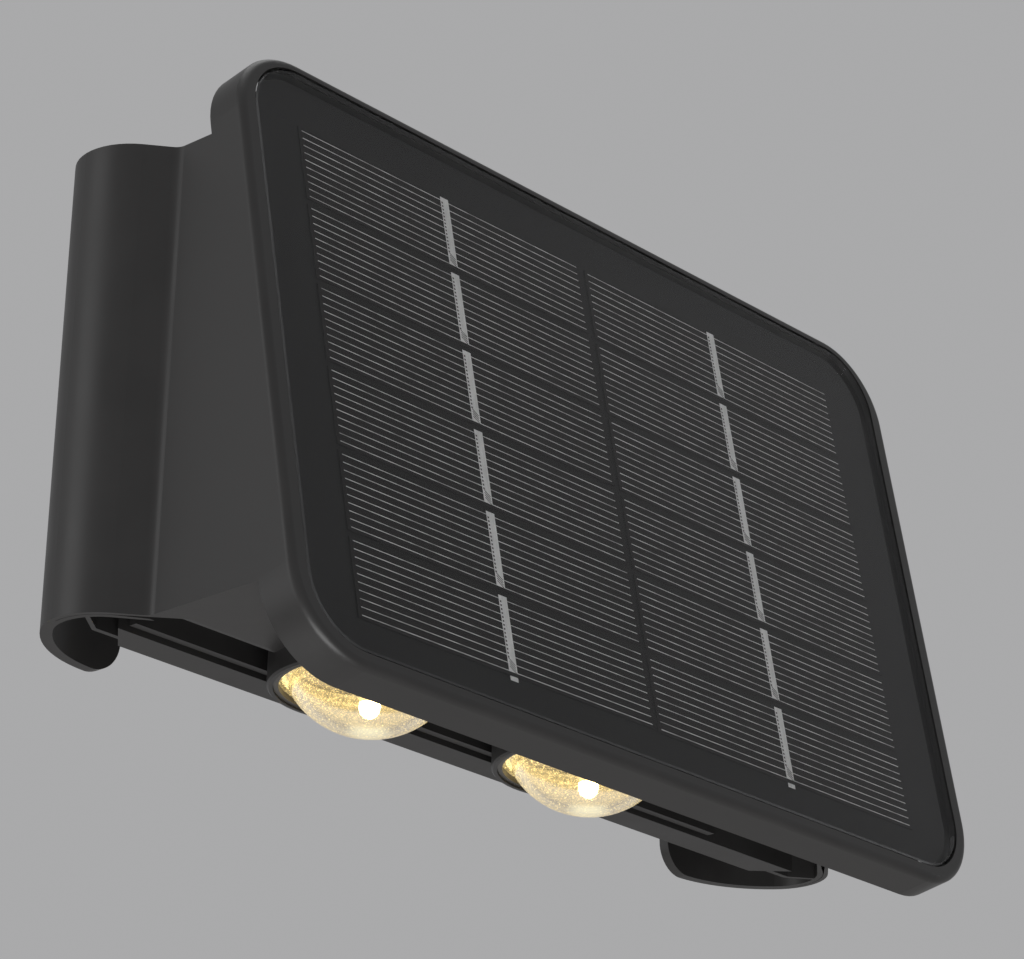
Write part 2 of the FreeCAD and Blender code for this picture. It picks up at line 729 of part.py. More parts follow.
def cover_seal():
    body = new_body("cover_seal")
    frame = new_sketch(body, "seal_frame", "XZ_Plane", "coverThick")
    rectangle(frame, "0", "0", "bodyWidth - 2 * neckInset", "bodyHeight - 2 * neckStep")
    rectangle(frame, "0", "0", f"2 * {CAVITY_SIDE}", "bodyHeight - 2 * (neckStep + neckWall)")
    pad(body, frame, "sealThick")


# Panel ----------------------------------------------------------------------------------------------


def panel_glass():
    body = new_body("panel_glass")
    lean(body, "Placement")
    outline = new_sketch(body, "glass_outline", "XY_Plane")
    rounded_rectangle(outline, "0", "0", "glassWidth", "glassHeight", "glassCorner")
    pad(body, outline, "glassThick", reverse=True)
    chamfer(body, "glassChamfer", lambda edge: all(near(point.z, 0) for point in ends(edge)))


def cell_places():
    """Formulas for the middle of each cell, column by column from below."""
    columns = ("(-(cellWidth + columnGap) / 2)", "((cellWidth + columnGap) / 2)")
    from_middle = [row - (ROWS - 1) / 2 for row in range(ROWS)]
    return [(x, f"(-cellsDrop + ({step}) * rowPitch)") for x in columns for step in from_middle]


def solar_cells():
    body = new_body("solar_cells")
    lean(body, "Placement")
    outline = new_sketch(body, "cells", "XY_Plane", "-glassThick - 2 * layerGap - ribbonThick")
    for x, y in cell_places():
        rectangle(outline, x, y, "cellWidth", "cellHeight")
    pad(body, outline, "cellThick", reverse=True)


def cell_ribbons():
    """One ribbon down the middle of each cell, reaching a little past the cell's upper edge."""
    body = new_body("cell_ribbons")
    lean(body, "Placement")
    outline = new_sketch(body, "ribbons", "XY_Plane", "-glassThick - layerGap")
    for x, y in cell_places():
        rectangle(outline, x, f"{y} + ribbonRise", "ribbonWidth", "ribbonLength")
    pad(body, outline, "ribbonThick", reverse=True)


def panel_backing():
    body = new_body("panel_backing")
    lean(body, "Placement")
    outline = new_sketch(body, "backing_outline", "XY_Plane", f"-{BACKING_FRONT}")
    rounded_rectangle(outline, "0", "0", "glassWidth - 2 * backingInset", "glassHeight - 2 * backingInset",
                      "(glassCorner - backingInset)")
    pad(body, outline, "backingThick", reverse=True)


def panel_tape():
    """Foam tape that holds the backing to the floor of the recess."""
    body = new_body("panel_tape")
    lean(body, "Placement")
    outline = new_sketch(body, "tape_outline", "XY_Plane", f"-{BACKING_FRONT} - backingThick")
    for inset in ("backingInset", "(backingInset + tapeWidth)"):
        rounded_rectangle(outline, "0", "0", f"glassWidth - 2 * {inset}", f"glassHeight - 2 * {inset}",
                          f"(glassCorner - {inset})")
    pad(body, outline, f"{RECESS_DEPTH} - {BACKING_FRONT} - backingThick", reverse=True)


# Lamps: everything here turns about the axis of its cup, with heights above the cup's rim -----------


def lamp_body(name, side):
    body = new_body(f"{name}_{side}", listed=False)
    place(body, CUPS[side], "-cupSetback", CUP_RIM)
    return body


def lens(side):
    """Solid dome with a flange, and a pocket for the LED in its flat top."""
    body = lamp_body("lens", side)
    sketch = new_sketch(body, f"lens_{side}_section", "XZ_Plane")
    ball = "((lensRadius ^ 2 + lensDrop ^ 2) / (2 * lensDrop))"
    centre_z, flange_r = f"({ball} - lensDrop)", f"{CUP_BORE} - fitGap"
    whole = Part.Circle(Vector(0, value(centre_z), 0), Vector(0, 0, 1), value(ball))
    rim_angle = -math.acos(value(f"lensRadius / {ball}"))
    dome = sketch.addGeometry(Part.ArcOfCircle(whole, -math.pi / 2, rim_angle))
    hold_point(sketch, dome, 3, "0", centre_z)
    hold(sketch, "Radius", dome, formula=ball)
    sketch.addConstraint(Sketcher.Constraint("PointOnObject", dome, 1, -2))
    hold(sketch, "DistanceX", -1, 1, dome, 2, formula="lensRadius")
    corners = [("lensRadius", f"{FLANGE_TOP} - flangeThick"), (flange_r, f"{FLANGE_TOP} - flangeThick"),
               (flange_r, FLANGE_TOP), ("pocketRadius", FLANGE_TOP), ("pocketRadius", "pocketFloor"),
               ("0", "pocketFloor")]
    last, last_end = dome, 2
    for x, z in corners:
        corner = Vector(value(x), value(z), 0)
        line = sketch.addGeometry(Part.LineSegment(sketch.getPoint(last, last_end), corner))
        sketch.addConstraint(Sketcher.Constraint("Coincident", last, last_end, line, 1))
        hold_point(sketch, line, 2, x, z)
        last, last_end = line, 2
    join(sketch, last, 2, dome, 1)
    revolve(body, sketch)
    return body


def lens_ring(side):
    """Ring that holds the lens's flange up in its cup."""
    body = lamp_body("lens_ring", side)
    section = new_sketch(body, f"lens_ring_{side}_section", "XZ_Plane")
    outer, top = f"{CUP_BORE} - fitGap", f"{FLANGE_TOP} - flangeThick"
    polygon(section, [(f"{outer} - ringWidth", f"{top} - ringThick"), (outer, f"{top} - ringThick"),
                      (outer, top), (f"{outer} - ringWidth", top)])
    revolve(body, section)
    return body


def led_board(side):
    body = lamp_body("led_board", side)
    disc = new_sketch(body, f"led_board_{side}_disc", "XY_Plane", BOARD_LOW)
    circle(disc, "0", "0", "boardSeatRadius - fitGap")
    pad(body, disc, "ledBoardThick")
    return body


def led(side):
    """Square package with a round emitter below it."""
    body = lamp_body("led", side)
    package = new_sketch(body, f"led_{side}_package", "XY_Plane", BOARD_LOW)
    rectangle(package, "0", "0", "ledSide", "ledSide")
    pad(body, package, "ledThick", reverse=True)
    emitter = new_sketch(body, f"led_{side}_emitter", "XY_Plane", f"{BOARD_LOW} - ledThick")
    circle(emitter, "0", "0", "emitterRadius")
    pad(body, emitter, "emitterThick", reverse=True)
    return body


def lamps():
    for name, make in (("lenses", lens), ("lens_rings", lens_ring), ("led_boards", led_board),
                       ("leds", led)):
        new_group(name, [make(side) for side in CUPS])


# Battery --------------------------------------------------------------------------------------------


def battery_cell():
    """Round cell along X with a crimped shoulder and a raised terminal at its right end."""
    body = new_body("battery_cell")
    place(body, BATTERY_X, BATTERY_Y, "-batteryDrop")
    section = new_sketch(body, "cell_section", "XY_Plane")
    end = "batteryLength / 2"
    crimp = f"{end} - 2 * crimpWidth"
    polygon(section, [(f"-{end}", "0"), (f"-{end}", "batteryRadius"), (crimp, "batteryRadius"),
                      (f"{crimp} + crimpWidth / 2", "batteryRadius - crimpDepth"),
                      (f"{crimp} + crimpWidth", "batteryRadius"), (end, "batteryRadius"),
                      (end, "capRadius"), (f"{end} + capHeight", "capRadius"), (f"{end} + capHeight", "0")])
    revolve(body, section, "H_Axis")


def battery_holder():
    """Open cradle: a floor on the cover, two long walls and two end walls round the cell."""
    body = new_body("battery_holder")
    place(body, f"{BATTERY_X} + capHeight / 2", "-coverThick", "-batteryDrop")
    width = "(2 * (batteryRadius + cradleGap + cradleWall))"
    block = new_sketch(body, "cradle_block", "XZ_Plane")
    rectangle(block, "0", "0", f"{CRADLE_LENGTH} + 2 * cradleWall", width)
    pad(body, block, "batteryDepth - coverThick + cradleRise")
    bed = new_sketch(body, "cradle_bed", "YZ_Plane")
    circle(bed, "-batteryDepth + coverThick", "0", "batteryRadius + cradleGap")
    pocket(body, bed, CRADLE_LENGTH, side="Symmetric")


def battery_contacts():
    """A plate at each end of the cell."""
    body = new_body("battery_contacts")
    place(body, BATTERY_X, BATTERY_Y, "-batteryDrop")
    plates = new_sketch(body, "contact_plates", "XY_Plane")
    for x in ("-batteryLength / 2 - contactThick / 2 - fitGap",
              "batteryLength / 2 + capHeight + contactThick / 2 + fitGap"):
        rectangle(plates, x, "0", "contactThick", "contactSide")
    pad(body, plates, "contactSide", side="Symmetric")


# Control board --------------------------------------------------------------------------------------


def control_board():
    body = new_body("control_board")
    board = new_sketch(body, "board_outline", "XZ_Plane", "coverThick + boardStand")
    rectangle(board, BOARD_X, "0", "boardWidth", "boardHeight")
    for x, z in board_corners():
        circle(board, x, z, "boardHoleRadius")
    pad(body, board, "boardThick")


def board_parts():
    """Chip, charger, coil, two capacitors and two wire sockets on the board's front."""
    socket_x = f"{BOARD_X} - boardWidth / 2 + socketEdge"
    coil_x = f"{BOARD_X} + boardWidth / 2 - coilEdge"
    solids = []
    for name, x, z, width, height, thick in (
            ("chip", BOARD_X, "partRise", "chipWidth", "chipHeight", "chipThick"),
            ("charger", f"{BOARD_X} - chipWidth", "-partRise", "chargerWidth", "chargerHeight", "chipThick"),
            ("panel_socket", socket_x, "partRise", "socketWidth", "socketHeight", "socketThick"),
            ("lamp_socket", socket_x, "-partRise", "socketWidth", "socketHeight", "socketThick")):
        box = doc.addObject("Part::Box", name)
        for prop, formula in (("Length", width), ("Width", height), ("Height", thick)):
            box.setExpression(prop, bound(formula))
        box.Placement = Placement(Vector(0, 0, 0), Rotation(Vector(1, 0, 0), 90))
        place(box, f"{x} - {width} / 2", f"-{BOARD_FRONT}", f"{z} - {height} / 2")
        solids.append(box)
    for name, x, z, radius, height in (
            ("coil", coil_x, "-partRise", "coilRadius", "coilHeight"),
            ("capacitor", coil_x, "partRise", "capacitorRadius", "capacitorHeight"),
            ("small_capacitor", BOARD_X, "-partRise", "smallRadius", "smallHeight")):
        can = doc.addObject("Part::Cylinder", name)
        can.setExpression("Radius", bound(radius))
        can.setExpression("Height", bound(height))
        can.Placement = Placement(Vector(0, 0, 0), Rotation(Vector(1, 0, 0), 90))
        place(can, x, f"-{BOARD_FRONT}", z)
        solids.append(can)
    new_group("board_parts", solids)


# Push button ----------------------------------------------------------------------------------------


def push_switch():
    """Latching switch, hung by two ears on the housing's ribs, open below for the button's stem."""
    body = new_body("push_switch")
    place(body, BUTTON_X, "-buttonSetback")
    case = new_sketch(body, "switch_case", "XY_Plane", SWITCH_LOW)
    rectangle(case, "0", "0", "switchSide", "switchSide")
    pad(body, case, "switchHeight")
    ears = new_sketch(body, "switch_ears", "XY_Plane", SWITCH_EARS)
    rectangle(ears, "0", "0", f"2 * {RIB_REACH} + ribThick", "switchSide - 2 * switchClear")
    pad(body, ears, "earThick")
    bore = new_sketch(body, "stem_bore", "XY_Plane", SWITCH_LOW)
    circle(bore, "0", "0", "stemRadius + buttonGap")
    pocket(body, bore, "stemLength + switchClear", reverse=True)


def switch_button():
    """Cap, retaining flange and stem in one, turned about the button's axis."""
    body = new_body("switch_button")
    place(body, BUTTON_X, "-buttonSetback")
    section = new_sketch(body, "button_section", "XZ_Plane")
    low, flange_r = f"{UNDERSIDE} - buttonDrop", "buttonRadius + buttonFlange"
    flange_top = f"{BUTTON_FLANGE_LOW} + buttonFlangeThick"
    polygon(section, [("0", low), ("buttonRadius", low), ("buttonRadius", BUTTON_FLANGE_LOW),
                      (flange_r, BUTTON_FLANGE_LOW), (flange_r, flange_top), ("stemRadius", flange_top),
                      ("stemRadius", f"{flange_top} + stemLength"), ("0", f"{flange_top} + stemLength")])
    revolve(body, section)
    low_z = value(low)
    chamfer(body, "buttonEdge", lambda edge: isinstance(edge.Curve, Part.Circle)
           and all(near(point.z, low_z) for point in ends(edge)))


def build():
    front_housing()
    rear_cover()
    cover_seal()
    screws("cover_screws", screw_places(), "-headSink", "screwRadius", "screwLength", "screwHeadRadius",
           "screwHeadThick", 1)
    panel_glass()
    solar_cells()
    cell_ribbons()
    panel_backing()
    panel_tape()
    lamps()
    battery_cell()
    battery_holder()
    battery_contacts()
    control_board()
    board_parts()
    screws("board_screws", board_corners(), f"-{BOARD_FRONT}", "boardScrewRadius", "boardScrewLength",
           "boardScrewHead", "boardScrewHeadThick", -1)
    push_switch()
    switch_button()
    doc.recompute()


def check():
    """Stop on a failed object, a cut that takes nothing away or a sub-part without a valid solid."""
    for item in doc.Objects:
        if "Invalid" in item.State or "Error" in item.State:
            raise RuntimeError(f"{item.Label} failed: {item.State}")
        if item.TypeId in ("PartDesign::Pocket", "PartDesign::Groove"):
            if item.Shape.Volume > item.BaseFeature.Shape.Volume - 0.001:
                raise RuntimeError(f"{item.Label} cuts nothing")
    for part in parts:
        if part.Shape.isNull() or not part.Shape.isValid() or not part.Shape.Solids:
            raise RuntimeError(f"{part.Label} has no valid solid")


build()
check()
os.makedirs("parts", exist_ok=True)
for part in parts:
    part.Shape.exportStep(f"parts/{part.Label}.step")
    print(part.Label, len(part.Shape.Solids), round(part.Shape.Volume, 1))
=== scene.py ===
import bpy
import math
from mathutils import Matrix, Vector


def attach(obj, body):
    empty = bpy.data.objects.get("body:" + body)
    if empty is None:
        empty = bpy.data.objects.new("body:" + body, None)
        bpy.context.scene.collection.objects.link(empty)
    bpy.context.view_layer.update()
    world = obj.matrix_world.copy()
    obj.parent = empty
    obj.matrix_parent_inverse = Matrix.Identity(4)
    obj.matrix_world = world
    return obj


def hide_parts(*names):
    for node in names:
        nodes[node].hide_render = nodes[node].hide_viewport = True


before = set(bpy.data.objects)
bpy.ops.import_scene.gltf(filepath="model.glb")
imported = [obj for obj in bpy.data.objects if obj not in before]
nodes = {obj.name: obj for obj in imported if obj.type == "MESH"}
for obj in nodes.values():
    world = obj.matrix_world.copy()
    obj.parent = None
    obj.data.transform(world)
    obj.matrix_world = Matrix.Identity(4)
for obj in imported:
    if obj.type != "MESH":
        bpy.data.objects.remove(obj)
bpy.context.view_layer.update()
mm = 0.001
smoothAngle = math.radians(35)   # edges sharper than this stay crisp

# the glass face: a point on it and the lean of the panel
panel = {"setBack": 33.3 * mm, "rise": 2.8 * mm, "tilt": math.radians(11.5)}
# the lamps' axes and the height of the domes' rims
lamps = {"places": (-41.3 * mm, 6.6 * mm), "back": -21.05 * mm, "rim": -40.1 * mm}


def deselectAll():
    if bpy.context.mode != "OBJECT":
        bpy.ops.object.mode_set(mode="OBJECT")
    bpy.ops.object.select_all(action="DESELECT")


def active():
    return bpy.context.view_layer.objects.active


def pick(obj):
    deselectAll()
    obj.select_set(True)
    bpy.context.view_layer.objects.active = obj


def panelFrame():
    # x to the right, y up the slope, z straight out of the glass
    sine, cosine = math.sin(panel["tilt"]), math.cos(panel["tilt"])
    turn = Matrix(((1, 0, 0, 0), (0, sine, -cosine, 0), (0, cosine, sine, 0), (0, 0, 0, 1)))
    return Matrix.Translation((0, -panel["setBack"], panel["rise"])) @ turn


def layOnPanel(obj):
    pick(obj)
    obj.matrix_world = panelFrame() @ obj.matrix_world
    bpy.ops.object.transform_apply(location=True, rotation=True, scale=True)


def newMaterial(name):
    mat = bpy.data.materials.new(name)
    mat.use_nodes = True
    return mat, mat.node_tree.nodes, mat.node_tree.links, mat.node_tree.nodes["Principled BSDF"]


def objectCoords(tree, links, scale=1.0):
    coord = tree.new("ShaderNodeTexCoord")
    mapping = tree.new("ShaderNodeMapping")
    mapping.inputs["Scale"].default_value = (scale, scale, scale) if isinstance(scale, float) else scale
    links.new(coord.outputs["Object"], mapping.inputs["Vector"])
    return mapping.outputs["Vector"]


def noise(tree, links, vector, scale, detail=3.0, roughness=0.6):
    node = tree.new("ShaderNodeTexNoise")
    node.inputs["Scale"].default_value = scale
    node.inputs["Detail"].default_value = detail
    node.inputs["Roughness"].default_value = roughness
    links.new(vector, node.inputs["Vector"])
    return node.outputs["Fac"]


def ramp(tree, links, source, stops):
    node = tree.new("ShaderNodeValToRGB")
    elements = node.color_ramp.elements
    for index, (place, colour) in enumerate(stops):
        element = elements[index] if index < 2 else elements.new(place)
        element.position = place
        element.color = (*colour, 1)
    links.new(source, node.inputs["Fac"])
    return node.outputs["Color"]


def mapRange(tree, links, source, fromLow, fromHigh, toLow, toHigh):
    node = tree.new("ShaderNodeMapRange")
    limits = {"From Min": fromLow, "From Max": fromHigh, "To Min": toLow, "To Max": toHigh}
    for socket, number in limits.items():
        node.inputs[socket].default_value = number
    links.new(source, node.inputs["Value"])
    return node.outputs["Result"]


def splitZ(tree, links, vector):
    node = tree.new("ShaderNodeSeparateXYZ")
    links.new(vector, node.inputs["Vector"])
    return node.outputs["Z"]


def bump(tree, links, shader, source, strength, distance):
    node = tree.new("ShaderNodeBump")
    node.inputs["Strength"].default_value = strength
    node.inputs["Distance"].default_value = distance
    links.new(source, node.inputs["Height"])
    links.new(node.outputs["Normal"], shader.inputs["Normal"])


def mouldedPlastic(name, dark, light, roughLow, roughHigh, grain=2600.0, grainDepth=0.00002, cloud=60.0):
    # moulded ABS: a faint cloudiness of tone and gloss over a fine spark-eroded grain
    mat, tree, links, shader = newMaterial(name)
    vector = objectCoords(tree, links)
    broad = noise(tree, links, vector, cloud, 4.0)
    links.new(ramp(tree, links, broad, [(0.3, dark), (0.75, light)]), shader.inputs["Base Color"])
    links.new(mapRange(tree, links, broad, 0.3, 0.7, roughLow, roughHigh), shader.inputs["Roughness"])
    fine = noise(tree, links, vector, grain, 2.0)
    bump(tree, links, shader, fine, 0.35, grainDepth)
    return mat


def setMaterial(nodeNames, mat):
    for name in nodeNames:
        node = nodes[name]
        if not node.material_slots:
            node.data.materials.append(mat)
        for slot in node.material_slots:
            slot.material = mat


def editMode(obj, kind="FACE"):
    pick(obj)
    bpy.ops.object.mode_set(mode="EDIT")
    bpy.ops.mesh.select_mode(type=kind)
    bpy.ops.mesh.select_all(action="DESELECT")


def choose(obj, kind, test):
    # selects by place: leaves edit mode to flag the elements, then comes back
    bpy.ops.object.mode_set(mode="OBJECT")
    mesh = obj.data
    for element in list(mesh.vertices) + list(mesh.edges) + list(mesh.polygons):
        element.select = False
    for element in mesh.polygons if kind == "FACE" else mesh.edges if kind == "EDGE" else mesh.vertices:
        if kind == "EDGE":
            element.select = all(test(mesh.vertices[v].co) for v in element.vertices)
        else:
            element.select = test(element.center if kind == "FACE" else element.co)
    bpy.ops.object.mode_set(mode="EDIT")
    bpy.ops.mesh.select_mode(type=kind)


def near(a, b):
    return abs(a - b) < 0.01 * mm


def bar(name, place, size, bevel=0.0):
    deselectAll()
    bpy.ops.mesh.primitive_cube_add(size=1.0, location=place)
    obj = active()
    obj.name = name
    obj.scale = size
    bpy.ops.object.transform_apply(location=False, rotation=False, scale=True)
    if bevel:
        editMode(obj)
        bpy.ops.mesh.select_all(action="SELECT")
        bpy.ops.mesh.bevel(offset=bevel, segments=1, affect="EDGES")
        bpy.ops.object.mode_set(mode="OBJECT")
    bpy.ops.object.transform_apply(location=True, rotation=False, scale=False)
    return obj


def repeat(obj, count, step):
    pick(obj)
    rows = obj.modifiers.new("rows", "ARRAY")
    rows.count = count
    rows.use_relative_offset = False
    rows.use_constant_offset = True
    rows.constant_offset_displace = step
    bpy.ops.object.modifier_apply(modifier=rows.name)


def merge(name, objs):
    pick(objs[0])
    for obj in objs:
        obj.select_set(True)
    bpy.ops.object.join()
    active().name = name
    return active()


def copyTo(obj, shift):
    pick(obj)
    bpy.ops.object.duplicate()
    twin = active()
    bpy.ops.transform.translate(value=shift)
    bpy.ops.object.transform_apply(location=True, rotation=True, scale=True)
    return twin


def cutBall(x, centre, cut, shape):
    # the part of a ball below a height, left in edit mode with the open edge chosen
    deselectAll()
    bpy.ops.mesh.primitive_uv_sphere_add(segments=shape["segments"], ring_count=shape["rings"],
                                         radius=shape["ball"], location=(x, lamps["back"], centre))
    obj = active()
    bpy.ops.object.transform_apply(location=True, rotation=True, scale=True)
    editMode(obj)
    bpy.ops.mesh.select_all(action="SELECT")
    bpy.ops.mesh.bisect(plane_co=(x, lamps["back"], cut), plane_no=(0, 0, 1), clear_outer=True)
    bpy.ops.mesh.select_all(action="DESELECT")
    choose(obj, "EDGE", lambda co: near(co.z, cut))
    return obj


def drawUp(x, neck, wide, collar):
    # the chosen edge goes straight up, outward by a factor and up again
    bpy.ops.mesh.extrude_region_move(TRANSFORM_OT_translate={"value": (0, 0, neck)})
    bpy.ops.mesh.extrude_region_move(TRANSFORM_OT_translate={"value": (0, 0, 0)})
    bpy.ops.transform.resize(value=(wide, wide, 1), center_override=(x, lamps["back"], 0))
    bpy.ops.mesh.extrude_region_move(TRANSFORM_OT_translate={"value": (0, 0, collar)})


def finishPiece(obj, mat, slot, *replaced):
    obj.data.materials.clear()
    obj.data.materials.append(mat)
    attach(obj, "root")
    if replaced:
        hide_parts(*replaced)


# Moulded pieces: tones, least and most roughness, and the grain's scale and depth where they differ
moulded = {
    "housingPlastic": {"nodes": ["front_housing"], "rough": (0.38, 0.48),
                       "tones": ((0.0150, 0.0143, 0.0140), (0.0205, 0.0196, 0.0192))},
    "coverPlastic": {"nodes": ["rear_cover"], "rough": (0.40, 0.52),
                     "tones": ((0.0150, 0.0143, 0.0140), (0.0210, 0.0200, 0.0196))},
    "ringPlastic": {"nodes": ["lens_rings"], "rough": (0.25, 0.35),
                    "tones": ((0.03, 0.028, 0.025), (0.05, 0.045, 0.04))},
    "nylon": {"nodes": ["battery_holder", "push_switch"], "rough": (0.5, 0.6),
              "tones": ((0.02, 0.02, 0.02), (0.03, 0.03, 0.03))},
    "partPlastic": {"nodes": ["board_parts"], "rough": (0.4, 0.5),
                    "tones": ((0.012, 0.012, 0.013), (0.02, 0.02, 0.02))},
    "foam": {"nodes": ["cover_seal", "panel_tape"], "rough": (0.8, 0.95), "grain": (1800.0, 0.0002),
             "tones": ((0.02, 0.02, 0.02), (0.05, 0.05, 0.05))},
    "buttonRubber": {"nodes": ["switch_button"], "rough": (0.45, 0.6), "grain": (3000.0, 0.00004),
                     "tones": ((0.013, 0.013, 0.013), (0.02, 0.02, 0.02))}}
for name, look in moulded.items():
    mat = mouldedPlastic(name, *look["tones"], *look["rough"], *look.get("grain", ()))
    setMaterial(look["nodes"], mat)
print("plastics done")


def metal(name, dark, light, roughLow, roughHigh, stretch):
    # rolled metal: grain drawn out along one way
    mat, tree, links, shader = newMaterial(name)
    grain = noise(tree, links, objectCoords(tree, links, stretch), 400.0, 4.0)
    links.new(ramp(tree, links, grain, [(0.3, dark), (0.7, light)]), shader.inputs["Base Color"])
    links.new(mapRange(tree, links, grain, 0.3, 0.7, roughLow, roughHigh), shader.inputs["Roughness"])
    bump(tree, links, shader, grain, 0.2, 0.00002)
    shader.inputs["Metallic"].default_value = 1.0
    return mat


nickel = metal("nickel", (0.55, 0.54, 0.5), (0.72, 0.71, 0.67), 0.2, 0.35, (1, 0.2, 1))
setMaterial(["battery_contacts"], nickel)
steel = metal("screwSteel", (0.42, 0.42, 0.43), (0.62, 0.62, 0.63), 0.28, 0.42, (1, 0.3, 1))
setMaterial(["board_screws"], steel)


def mottled(name, low, high, scale, roughness, shine=0.5):
    mat, tree, links, shader = newMaterial(name)
    cloud = noise(tree, links, objectCoords(tree, links), scale, 5.0)
    links.new(ramp(tree, links, cloud, [(0.3, low), (0.7, high)]), shader.inputs["Base Color"])
    gloss = mapRange(tree, links, cloud, 0.3, 0.7, roughness - 0.06, roughness + 0.06)
    links.new(gloss, shader.inputs["Roughness"])
    bump(tree, links, shader, cloud, 0.15, 0.00005)
    shader.inputs["Specular IOR Level"].default_value = shine
    return mat


setMaterial(["battery_cell"], mottled("cellSleeve", (0.03, 0.10, 0.28), (0.05, 0.14, 0.36), 90.0, 0.35))
setMaterial(["control_board"], mottled("solderMask", (0.01, 0.09, 0.03), (0.02, 0.14, 0.05), 240.0, 0.4))
backing = {"low": (0.0145, 0.0145, 0.0145), "high": (0.019, 0.019, 0.019), "scale": 320.0, "roughness": 0.6,
           "shine": 0.1}
setMaterial(["panel_backing"], mottled("backingBoard", **backing))
print("small parts done")

# Glass of the panel
glass = {"tint": (0.92, 0.92, 0.92), "clear": (0.96, 0.965, 0.97), "ior": 1.19, "rough": (0.0, 0.015),
         "shine": 0.05}
mat, tree, links, shader = newMaterial("panelGlass")
smear = noise(tree, links, objectCoords(tree, links), 18.0, 4.0)
clarity = ramp(tree, links, smear, [(0.2, glass["tint"]), (0.9, glass["clear"])])
links.new(clarity, shader.inputs["Base Color"])
links.new(mapRange(tree, links, smear, 0.3, 0.7, *glass["rough"]), shader.inputs["Roughness"])
shader.inputs["Transmission Weight"].default_value = 1.0
shader.inputs["IOR"].default_value = glass["ior"]
shader.inputs["Specular IOR Level"].default_value = glass["shine"]
setMaterial(["panel_glass"], mat)

# Silicon cells: two columns of six, the left one a shade askew
cell = {"width": 63.0 * mm, "height": 13.1 * mm, "thick": 0.2 * mm, "top": -2.2 * mm, "pitch": 14.03 * mm,
        "rows": 6, "columnStep": 64.0 * mm, "drop": 1.0 * mm, "skew": math.radians(-0.47), "chamfer": 0.05 * mm,
        "dark": (0.0065, 0.006, 0.0062), "light": (0.0125, 0.0115, 0.0118), "rough": (0.42, 0.58), "shine": 0.1}
columnX = cell["columnStep"] / 2
bottomRow = -cell["drop"] - (cell["rows"] - 1) / 2 * cell["pitch"]


def columns(name, obj):
    # the built column is the right one; its twin goes to the left
    left = copyTo(obj, (-cell["columnStep"], 0, 0))
    pick(left)
    bpy.ops.transform.rotate(value=cell["skew"], orient_axis="Z", center_override=(-columnX, 0, 0))
    bpy.ops.object.transform_apply(location=True, rotation=True, scale=True)
    both = merge(name, [obj, left])
    layOnPanel(both)
    return both


silicon = bar("cell", (columnX, bottomRow, cell["top"] - cell["thick"] / 2),
              (cell["width"], cell["height"], cell["thick"]), cell["chamfer"])
repeat(silicon, cell["rows"], (0, cell["pitch"], 0))
silicon = columns("siliconCells", silicon)
mat, tree, links, shader = newMaterial("siliconBlue")
vector = objectCoords(tree, links)
crystal = noise(tree, links, vector, 900.0, 6.0, 0.75)
links.new(ramp(tree, links, crystal, [(0.3, cell["dark"]), (0.7, cell["light"])]), shader.inputs["Base Color"])
links.new(mapRange(tree, links, crystal, 0.3, 0.7, *cell["rough"]), shader.inputs["Roughness"])
bump(tree, links, shader, crystal, 0.25, 0.00002)
shader.inputs["Specular IOR Level"].default_value = cell["shine"]
finishPiece(silicon, mat, "cell", "solar_cells")

# Silver finger lines on each cell
finger = {"count": 10, "pitch": 1.316 * mm, "width": 0.13 * mm, "thick": 0.02 * mm, "length": 61.6 * mm,
          "dull": (0.34, 0.34, 0.33), "bright": (0.86, 0.86, 0.85), "rough": (0.45, 0.65)}
firstFinger = bottomRow - (finger["count"] - 1) / 2 * finger["pitch"]
fingers = bar("finger", (columnX, firstFinger, cell["top"] + finger["thick"] / 2),
              (finger["length"], finger["width"], finger["thick"]))
repeat(fingers, finger["count"], (0, finger["pitch"], 0))
repeat(fingers, cell["rows"], (0, cell["pitch"], 0))
fingers = columns("cellFingers", fingers)
mat, tree, links, shader = newMaterial("silverPaste")
worn = noise(tree, links, objectCoords(tree, links, (0.35, 1.0, 1.0)), 900.0, 3.0)
links.new(ramp(tree, links, worn, [(0.32, finger["dull"]), (0.60, finger["bright"])]), shader.inputs["Base Color"])
links.new(mapRange(tree, links, worn, 0.3, 0.7, *finger["rough"]), shader.inputs["Roughness"])
finishPiece(fingers, mat, "cell")
print("cells done")

# Ribbon down each cell: plain bar with chamfered edges, and a short tail below the lowest cell
ribbon = {"width": 1.8 * mm, "length": 12.5 * mm, "thick": 0.08 * mm, "rise": 0.25 * mm, "low": -2.18 * mm,
          "chamfer": 0.03 * mm, "dull": (0.76, 0.76, 0.75), "bright": (0.97, 0.97, 0.96), "rough": (0.4, 0.6)}
tail = {"drop": 0.55 * mm, "width": 1.62 * mm, "length": 0.7 * mm}
ribbonTop = ribbon["low"] + ribbon["thick"]
ribbonMiddle = ribbon["low"] + ribbon["thick"] / 2
strap = bar("strap", (columnX, bottomRow + ribbon["rise"], ribbonMiddle),
            (ribbon["width"], ribbon["length"], ribbon["thick"]), ribbon["chamfer"])
end = bar("tail", (columnX, bottomRow - cell["height"] / 2 - tail["drop"], ribbonMiddle),
          (tail["width"], tail["length"], ribbon["thick"]))
repeat(strap, cell["rows"], (0, cell["pitch"], 0))
strap = columns("cellStraps", merge("strap", [strap, end]))
mat, tree, links, shader = newMaterial("tinnedCopper")
tin = noise(tree, links, objectCoords(tree, links, (1.0, 0.3, 0.3)), 1500.0, 4.0)
links.new(ramp(tree, links, tin, [(0.3, ribbon["dull"]), (0.72, ribbon["bright"])]), shader.inputs["Base Color"])
links.new(mapRange(tree, links, tin, 0.3, 0.7, *ribbon["rough"]), shader.inputs["Roughness"])
